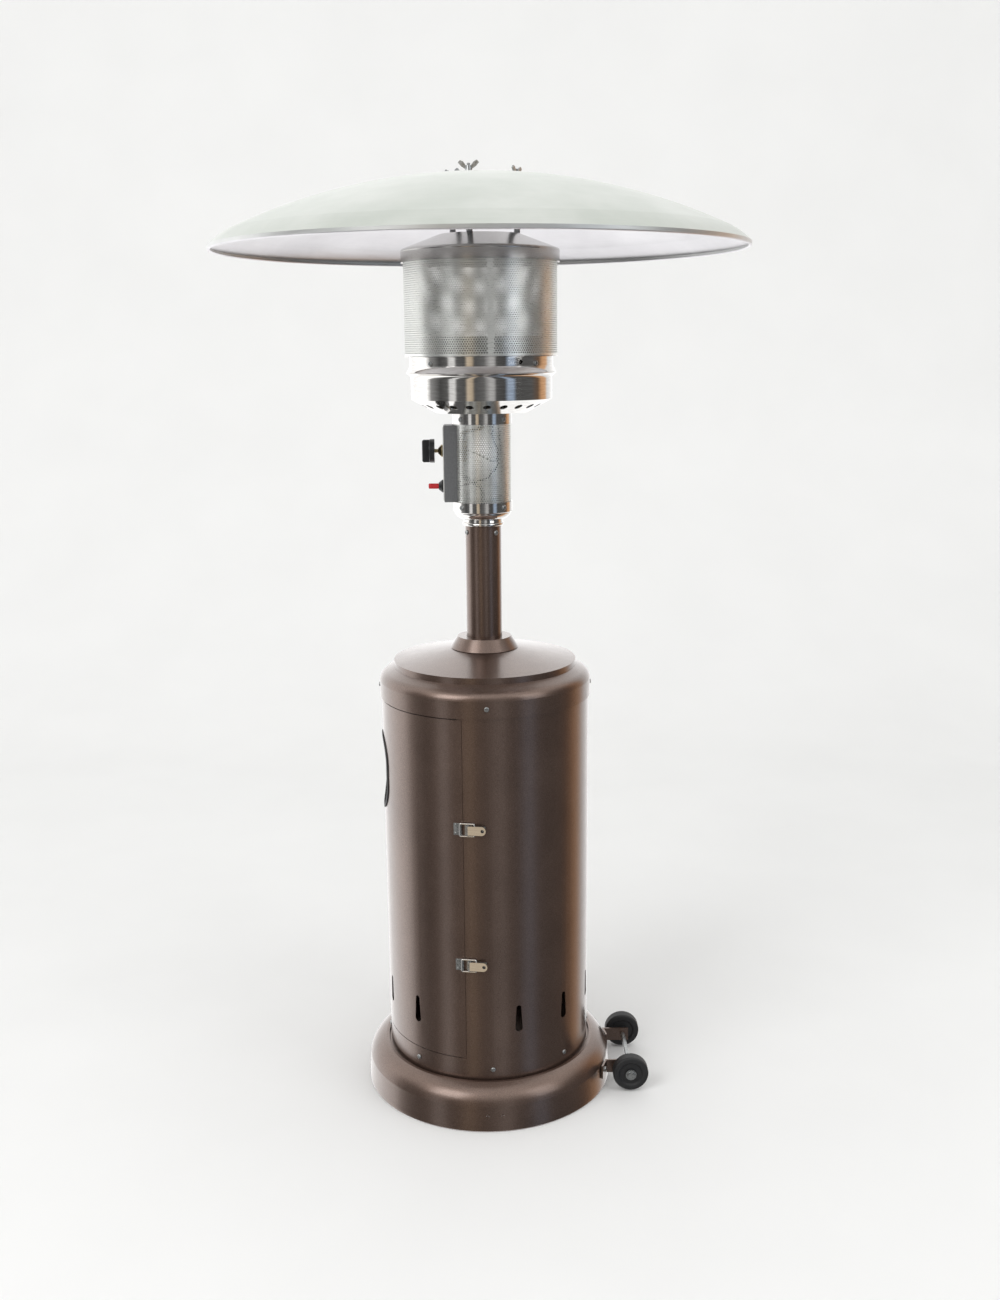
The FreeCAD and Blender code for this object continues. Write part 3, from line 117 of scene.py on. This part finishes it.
def thick_tube(name, flat, triangles, outer, thickness, phase=0.0):
    """Sheet rolled to a tube: (u, v) goes to (r cos a, r sin a, v), a = u / outer + phase.

    The outer face has r = outer and the inner face r = outer - thickness. Every edge that
    only one triangle uses gets a wall between the two, so holes and ends are closed.
    """
    used, renumbered = np.unique(triangles, return_inverse=True)
    triangles = renumbered.reshape(-1, 3)
    azimuth = flat[used, 0] / outer + phase
    turned = np.stack((np.cos(azimuth), np.sin(azimuth)), axis=1)
    outside = np.column_stack((turned * outer, flat[used, 1]))
    inside = np.column_stack((turned * (outer - thickness), flat[used, 1]))
    count = len(used)

    edges = np.concatenate([triangles[:, [0, 1]], triangles[:, [1, 2]], triangles[:, [2, 0]]])
    keys = edges.min(axis=1) * count + edges.max(axis=1)
    _, where, times = np.unique(keys, return_index=True, return_counts=True)
    a, b = edges[where[times == 1]].T
    walls = np.concatenate([np.stack([b, a, a + count], axis=1), np.stack([b, a + count, b + count], axis=1)])
    faces = np.concatenate([triangles, triangles[:, ::-1] + count, walls])
    return mesh_object(name, np.concatenate((outside, inside)), faces, smooth=False)


def finish(piece, body, material, slot, *nodes):
    """The piece rides a body, has a material, and stands for these nodes; the slot is not used."""
    piece.data.materials.append(material)
    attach(piece, body)
    if nodes:
        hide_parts(*nodes)
    return piece


# ---------------------------------------------------------------- finishes

def material(name, **sockets):
    """A Principled material; a keyword is a socket's name in lower case with underscores."""
    made = bpy.data.materials.new(name)
    made.use_nodes = True
    shader = made.node_tree.nodes["Principled BSDF"]
    for key, value in sockets.items():
        socket = shader.inputs[key.replace("_", " ").title().replace("Ior", "IOR")]
        socket.default_value = value
    return made


def node(made, kind, **settings):
    """A shader node; inputs are linked from sockets and set from other values."""
    added = made.node_tree.nodes.new(kind)
    inputs = settings.pop("inputs", {})
    for key, value in settings.items():
        setattr(added, key, value)
    for key, value in inputs.items():
        if isinstance(value, bpy.types.NodeSocket):
            made.node_tree.links.new(value, added.inputs[key])
        else:
            added.inputs[key].default_value = value
    return added


def link(made, socket, target):
    """Feeds a pattern into one of the Principled shader's sockets."""
    shader = made.node_tree.nodes["Principled BSDF"]
    made.node_tree.links.new(socket, shader.inputs[target])


def object_points(made, scale=(1, 1, 1)):
    """Object coordinates in metres, stretched by a Mapping node."""
    where = node(made, "ShaderNodeTexCoord")
    return node(made, "ShaderNodeMapping", inputs={
        "Vector": where.outputs["Object"], "Scale": scale}).outputs[0]


def turned_points(made, turn_scale):
    """(radius, height, azimuth) about the upright axis, so a pattern runs in rings."""
    where = node(made, "ShaderNodeTexCoord").outputs["Object"]
    parts = node(made, "ShaderNodeSeparateXYZ", inputs={0: where})
    flat = node(made, "ShaderNodeCombineXYZ", inputs={"X": parts.outputs["X"], "Y": parts.outputs["Y"]})
    radius = node(made, "ShaderNodeVectorMath", operation="LENGTH", inputs={0: flat.outputs[0]})
    turn = node(made, "ShaderNodeMath", operation="ARCTAN2", inputs={
        0: parts.outputs["Y"], 1: parts.outputs["X"]})
    joined = node(made, "ShaderNodeCombineXYZ", inputs={
        "X": radius.outputs["Value"], "Y": parts.outputs["Z"], "Z": turn.outputs[0]})
    return node(made, "ShaderNodeMapping", inputs={
        "Vector": joined.outputs[0], "Scale": (1, 1, turn_scale)}).outputs[0]


def noise(made, points, scale, detail=3.0, roughness=0.5):
    """A fractal noise pattern from 0 to 1."""
    return node(made, "ShaderNodeTexNoise", inputs={
        "Vector": points, "Scale": scale, "Detail": detail, "Roughness": roughness}).outputs["Fac"]


def spread(made, value, low, high, start=0.3, end=0.7):
    """Turns a 0 to 1 pattern into a range of numbers."""
    return node(made, "ShaderNodeMapRange", inputs={
        "Value": value, "From Min": start, "From Max": end, "To Min": low, "To Max": high}).outputs[0]


def shades(made, value, *stops):
    """A colour for each (place, colour) along a pattern."""
    ramp = node(made, "ShaderNodeValToRGB", inputs={0: value})
    elements = ramp.color_ramp.elements
    for index, (place, colour) in enumerate(stops):
        element = elements[index] if index < 2 else elements.new(place)
        element.position, element.color = place, (*colour, 1)
    return ramp.outputs[0]


def bump(made, height, strength, distance):
    """Raises the surface where the pattern is high; the distance is in metres."""
    added = node(made, "ShaderNodeBump", inputs={
        "Height": height, "Strength": strength, "Distance": distance})
    link(made, added.outputs[0], "Normal")


def bronze_hammer_paint():
    """Metallic brown paint with a fine hammered skin and a clear, slightly soft gloss."""
    made = material("bronze_hammer_paint", metallic=0.78, coat_weight=0.9, coat_roughness=0.22, coat_ior=1.5)
    points = object_points(made)
    cloud = noise(made, points, 9, 3)
    flake = noise(made, points, 700, 2, 0.7)
    mixed = node(made, "ShaderNodeMath", operation="MULTIPLY_ADD", inputs={0: flake, 1: 2.2, 2: cloud})
    colour = shades(made, spread(made, mixed.outputs[0], 0, 1, 1.1, 2.1),
                    (0, (0.098, 0.060, 0.045)), (1, (0.182, 0.120, 0.093)))
    link(made, colour, "Base Color")
    link(made, spread(made, noise(made, points, 60), 0.29, 0.33), "Roughness")
    bump(made, noise(made, points, 420, 2, 0.6), 0.25, 0.0006)
    return made


def polished_steel():
    """Mirror-bright steel with faint rings left by the spinning tool."""
    made = material("polished_steel", metallic=1.0)
    rings = noise(made, turned_points(made, 0.01), 700, 2)
    link(made, shades(made, rings, (0.3, (0.62, 0.60, 0.58)), (0.7, (0.74, 0.73, 0.71))), "Base Color")
    link(made, spread(made, rings, 0.06, 0.11), "Roughness")
    bump(made, rings, 0.06, 0.0004)
    return made


def brushed_steel():
    """Steel brushed in rings around the upright axis."""
    made = material("brushed_steel", metallic=1.0, anisotropic=0.5)
    rings = noise(made, turned_points(made, 0.02), 1400, 3, 0.7)
    link(made, shades(made, rings, (0.3, (0.46, 0.45, 0.435)), (0.7, (0.62, 0.61, 0.59))), "Base Color")
    link(made, spread(made, rings, 0.14, 0.22), "Roughness")
    bump(made, rings, 0.04, 0.0003)
    return made


def pierced_steel():
    """Mill-finish stainless strip, as the screens are pressed from."""
    made = material("pierced_steel", metallic=0.9)
    grain = noise(made, object_points(made, (4, 4, 60)), 30, 3)
    link(made, shades(made, grain, (0.3, (0.76, 0.77, 0.74)), (0.7, (0.86, 0.87, 0.84))), "Base Color")
    link(made, spread(made, grain, 0.26, 0.34), "Roughness")
    return made


def spun_aluminium():
    """Satin aluminium with spinning rings and slow waves; painted light by facing: the upper side darker and
    greener, the underside lighter and lilac-grey.
    """
    made = material("spun_aluminium", metallic=0.8)
    rings = noise(made, turned_points(made, 0.03), 260, 3)
    smears = noise(made, object_points(made), 7, 4, 0.6)
    mixed = node(made, "ShaderNodeMath", operation="MULTIPLY_ADD", inputs={0: rings, 1: 0.35, 2: smears})
    tone = spread(made, mixed.outputs[0], 0, 1, 0.5, 0.85)
    # painted light: lit and shaded copies of one metal, the darker greener one for the upper side and the
    # lighter lilac-grey one for the underside
    outside = shades(made, tone,
                     (0, (0.51, 0.54, 0.50)), (1, (0.60, 0.62, 0.587)))
    inside = shades(made, tone,
                    (0, (0.64, 0.63, 0.65)), (1, (0.74, 0.73, 0.75)))
    facing = node(made, "ShaderNodeTexCoord").outputs["Normal"]
    upward = node(made, "ShaderNodeSeparateXYZ", inputs={0: facing}).outputs["Z"]
    # mask of the painted light: 1 where the surface faces up, 0 where it faces down
    painted_light_side = spread(made, upward, 0, 1, -0.05, 0.05)
    colour = node(made, "ShaderNodeMix", data_type="RGBA", inputs={"Factor": painted_light_side, 6: inside, 7: outside})
    link(made, colour.outputs[2], "Base Color")
    link(made, spread(made, rings, 0.34, 0.44), "Roughness")
    bump(made, noise(made, turned_points(made, 0.15), 30, 2), 0.10, 0.002)
    return made


def zinc_plate():
    """Zinc-plated hardware, grey with a soft mottle."""
    made = material("zinc_plate", metallic=0.9)
    grain = noise(made, object_points(made), 260, 3)
    link(made, shades(made, grain, (0.3, (0.30, 0.31, 0.31)), (0.7, (0.44, 0.45, 0.45))), "Base Color")
    link(made, spread(made, grain, 0.24, 0.38), "Roughness")
    return made


def grey_paint():
    """Fine-grained grey enamel of the control box."""
    made = material("grey_paint", metallic=0.25)
    grain = noise(made, object_points(made), 500, 3)
    link(made, shades(made, grain, (0.3, (0.115, 0.118, 0.122)), (0.7, (0.150, 0.153, 0.158))), "Base Color")
    link(made, spread(made, grain, 0.42, 0.52), "Roughness")
    bump(made, grain, 0.08, 0.0003)
    return made


def white_label():
    """Face plate in a plain off-white satin."""
    made = material("white_label")
    grain = noise(made, object_points(made), 120, 2)
    link(made, shades(made, grain, (0.3, (0.58, 0.58, 0.56)), (0.7, (0.64, 0.64, 0.62))), "Base Color")
    link(made, spread(made, grain, 0.40, 0.50), "Roughness")
    return made


def dull_brass():
    """Handled brass with patchy tarnish."""
    made = material("dull_brass", metallic=0.95)
    grain = noise(made, object_points(made), 180, 3)
    link(made, shades(made, grain, (0.3, (0.30, 0.24, 0.13)), (0.7, (0.42, 0.35, 0.21))), "Base Color")
    link(made, spread(made, grain, 0.28, 0.42), "Roughness")
    return made


def plastic(name, dark, light, rough):
    """Moulded plastic with a faint grain."""
    made = material(name)
    grain = noise(made, object_points(made), 700, 3)
    link(made, shades(made, grain, (0.3, dark), (0.7, light)), "Base Color")
    link(made, spread(made, grain, rough, rough + 0.08), "Roughness")
    bump(made, grain, 0.05, 0.0002)
    return made


FINISHES = {
    "painted_steel": bronze_hammer_paint(),
    "stainless": brushed_steel(),
    "chrome": polished_steel(),
    "zinc": zinc_plate(),
    "aluminium": spun_aluminium(),
    "grey_paint": grey_paint(),
    "white_plate": white_label(),
    "brass": dull_brass(),
    "black_plastic": plastic("black_plastic", (0.010, 0.011, 0.012), (0.017, 0.018, 0.019), 0.30),
    "red_plastic": plastic("red_plastic", (0.42, 0.012, 0.016), (0.52, 0.020, 0.024), 0.28),
    "rubber": plastic("moulded_rubber", (0.012, 0.012, 0.013), (0.020, 0.020, 0.021), 0.55),
    "wire_black": plastic("wire_sleeve", (0.012, 0.012, 0.012), (0.020, 0.020, 0.020), 0.40),
}
for part in frame["record"]["subparts"]:
    NODES[part["node"]].data.materials.clear()
    NODES[part["node"]].data.materials.append(FINISHES[part["material_slot"]])
SCREEN_STEEL = pierced_steel()


# ---------------------------------------------------------------- the two pierced screens

def everywhere(u, v):
    """True for every place."""
    return np.ones(len(u), dtype=bool)


SHEET_THICKNESS = 0.0008
low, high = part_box("emitter_screen")
SCREEN_RADIUS, SCREEN_HOLE = high[0], 0.0027
SEAM_AZIMUTH, SEAM_HALF = math.radians(-83), 0.0042


def beside_seam(u, v):
    """False on the plain upright strip where the ends of the sheet lap."""
    return np.minimum(u, 2 * math.pi * SCREEN_RADIUS - u) > SEAM_HALF


SCREEN_COLUMNS, SCREEN_ROWS, SCREEN_BANDS = 194, 45, 3
screen_pitch = 2 * math.pi * SCREEN_RADIUS / SCREEN_COLUMNS
band_height = (high[2] - low[2]) / SCREEN_BANDS
flat, triangles = lattice(SCREEN_COLUMNS, SCREEN_ROWS, screen_pitch, SCREEN_HOLE, low[2], high[2],
                          beside_seam, everywhere)
middle = (flat[triangles, 1].mean(axis=1) - low[2]) / band_height
for band in range(SCREEN_BANDS):
    piece = thick_tube(f"emitter_screen_band_{band + 1}", flat, triangles[middle.astype(int) == band],
                       SCREEN_RADIUS, SHEET_THICKNESS, SEAM_AZIMUTH)
    finish(piece, "frame", SCREEN_STEEL, "stainless", "emitter_screen")

low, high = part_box("control_cover")
COVER_RADIUS, COVER_HOLE = high[0], 0.0026
COVER_COLUMNS, COVER_ROWS = 74, 44
cover_pitch = 2 * math.pi * COVER_RADIUS / COVER_COLUMNS
WINDOW_HALF, WINDOW_LOW, WINDOW_HIGH = 0.0200, 1.037, 1.153


def outside_window(u, v):
    """False where the control box needs the sheet cut away, on the -X side."""
    across = COVER_RADIUS * np.sin(u / COVER_RADIUS)
    back = np.cos(u / COVER_RADIUS) < 0
    return ~(back & (np.abs(across) < WINDOW_HALF) & (v > WINDOW_LOW) & (v < WINDOW_HIGH))


flat, triangles = lattice(COVER_COLUMNS, COVER_ROWS, cover_pitch, COVER_HOLE, low[2], high[2],
                          everywhere, outside_window)
cover = thick_tube("control_cover_sheet", flat, triangles, COVER_RADIUS, SHEET_THICKNESS)
finish(cover, "frame", SCREEN_STEEL, "stainless", "control_cover")


# ---------------------------------------------------------------- studio

def sweep(width=40.0, front=-20.0, turn=1.6, back=3.4, height=9.0):
    """Floor and backdrop in one sheet: a straight run, a quarter circle and a rise.

    Along the sheet y = back - turn + turn sin t and z = turn (1 - cos t) for t from 0 to a
    quarter turn, with straight ends.
    """
    t = np.linspace(0, np.pi / 2, 25)
    y = np.concatenate(([front], back - turn + turn * np.sin(t), [back]))
    z = np.concatenate(([0], turn - turn * np.cos(t), [height]))
    x = np.array([-width / 2, width / 2])
    points = np.stack([np.repeat(x, len(y)), np.tile(y, 2), np.tile(z, 2)], axis=1)
    k = np.arange(len(y) - 1)
    a, b = k, k + len(y)
    faces = np.concatenate([np.stack([a, b, b + 1], axis=1), np.stack([a, b + 1, a + 1], axis=1)])
    return mesh_object("studio_sweep", points, faces)


def pale_floor():
    """Matt off-white paper."""
    made = material("pale_floor", roughness=0.9, specular_ior_level=0.1)
    grain = noise(made, object_points(made), 3, 2)
    link(made, shades(made, grain, (0.3, (0.88, 0.88, 0.875)), (0.7, (0.90, 0.90, 0.895))), "Base Color")
    return made


def studio_surroundings():
    """The room as a ring of panels: bright behind and to the left, dim in front, warm at the right.

    Only shiny surfaces see the panels. Matt surfaces and the camera get an even light.
    """
    world = bpy.data.worlds.new("studio")
    bpy.context.scene.world = world
    world.use_nodes = True
    background = world.node_tree.nodes["Background"]
    where = node(world, "ShaderNodeTexCoord").outputs["Generated"]
    parts = node(world, "ShaderNodeSeparateXYZ", inputs={0: where})
    forward = node(world, "ShaderNodeMath", operation="MULTIPLY", inputs={0: parts.outputs["Y"], 1: -1.0})
    turn = node(world, "ShaderNodeMath", operation="ARCTAN2", inputs={
        0: parts.outputs["X"], 1: forward.outputs[0]})
    place = node(world, "ShaderNodeMapRange", inputs={
        "Value": turn.outputs[0], "From Min": -math.pi, "From Max": math.pi})
    panels = shades(world, place.outputs[0], *[((degrees + 180) / 360, colour) for degrees, colour in PANELS])
    overhead = node(world, "ShaderNodeMapRange", interpolation_type="SMOOTHSTEP", inputs={
        "Value": parts.outputs["Z"], "From Min": 0.32, "From Max": 0.80})
    mixed = node(world, "ShaderNodeMix", data_type="RGBA", inputs={
        "Factor": overhead.outputs[0], 6: panels, 7: OVERHEAD_LIGHT})
    ray = node(world, "ShaderNodeLightPath")
    even = node(world, "ShaderNodeMix", data_type="RGBA", inputs={
        "Factor": ray.outputs["Is Glossy Ray"], 6: EVEN_LIGHT, 7: mixed.outputs[2]})
    world.node_tree.links.new(even.outputs[2], background.inputs["Color"])
    background.inputs["Strength"].default_value = ROOM_STRENGTH


def grey(value):
    """A colour without tint."""
    return (value, value, value)


ROOM_STRENGTH = 1.15
EVEN_LIGHT = (0.78, 0.78, 0.775, 1)                   # what matt surfaces and the camera receive
OVERHEAD_LIGHT = (1.05, 1.05, 1.04, 1)                # what shiny surfaces see above the panels
PANELS = (                                            # degrees to the right of the front, and light
    (-180, grey(1.35)), (-142, grey(1.20)), (-128, grey(1.35)), (-100, grey(1.45)), (-90, grey(0.30)),
    (-70, grey(0.07)), (-56, grey(0.12)), (-52, grey(0.75)), (-44, grey(0.80)), (-40, grey(0.12)),
    (-26, grey(0.09)), (-22, (0.62, 0.52, 0.40)), (-15, (0.50, 0.41, 0.30)), (-11, grey(0.09)),
    (4, grey(0.14)), (14, grey(0.48)), (20, grey(0.44)), (24, grey(0.09)), (38, grey(0.07)),
    (44, (0.34, 0.42, 0.54)), (52, (0.32, 0.40, 0.52)), (58, grey(0.08)), (88, grey(0.10)),
    (104, (0.14, 0.09, 0.06)), (114, (0.60, 0.34, 0.18)), (126, (0.70, 0.43, 0.25)), (134, grey(0.80)),
    (180, grey(1.35)),
)


def softbox(name, place, aim, width, height, power):
    """A rectangular lamp at a place, turned to face its aim; sizes in metres, power in watts."""
    lamp = bpy.data.lights.new(name, "AREA")
    lamp.shape, lamp.size, lamp.size_y, lamp.energy = "RECTANGLE", width, height, power
    holder = bpy.data.objects.new(name, lamp)
    bpy.context.scene.collection.objects.link(holder)
    holder.location = place
    holder.rotation_euler = (Vector(aim) - Vector(place)).to_track_quat("-Z", "Y").to_euler()


def camera(place, yaw, down, roll, lens):
    """Camera from angles in degrees: yaw to +X from +Y, tilt down, then roll about the view."""
    y, p, r = (math.radians(a) for a in (yaw, down, roll))
    ahead = Vector((math.sin(y) * math.cos(p), math.cos(y) * math.cos(p), -math.sin(p)))
    right = ahead.cross(Vector((0, 0, 1))).normalized()
    up = right.cross(ahead)
    right, up = math.cos(r) * right + math.sin(r) * up, math.cos(r) * up - math.sin(r) * right
    data = bpy.data.cameras.new("camera")
    data.lens, data.sensor_fit, data.sensor_height, data.sensor_width = lens, "VERTICAL", 36, 36
    holder = bpy.data.objects.new("camera", data)
    bpy.context.scene.collection.objects.link(holder)
    holder.matrix_world = Matrix.Translation(place) @ Matrix((right, up, -ahead)).transposed().to_4x4()
    bpy.context.scene.camera = holder


floor = sweep()
floor.data.materials.append(pale_floor())
floor.visible_glossy = False
studio_surroundings()
softbox("key", (-2.4, -2.6, 3.2), (0, 0, 0.9), 2.2, 2.2, 55)
softbox("fill", (2.8, -2.0, 2.4), (0, 0, 0.9), 1.6, 2.4, 18)
camera((0, -2.2564, 1.2833), 0.663, 12.611, -0.531, 37.61)
bpy.context.scene.view_settings.view_transform = "Standard"
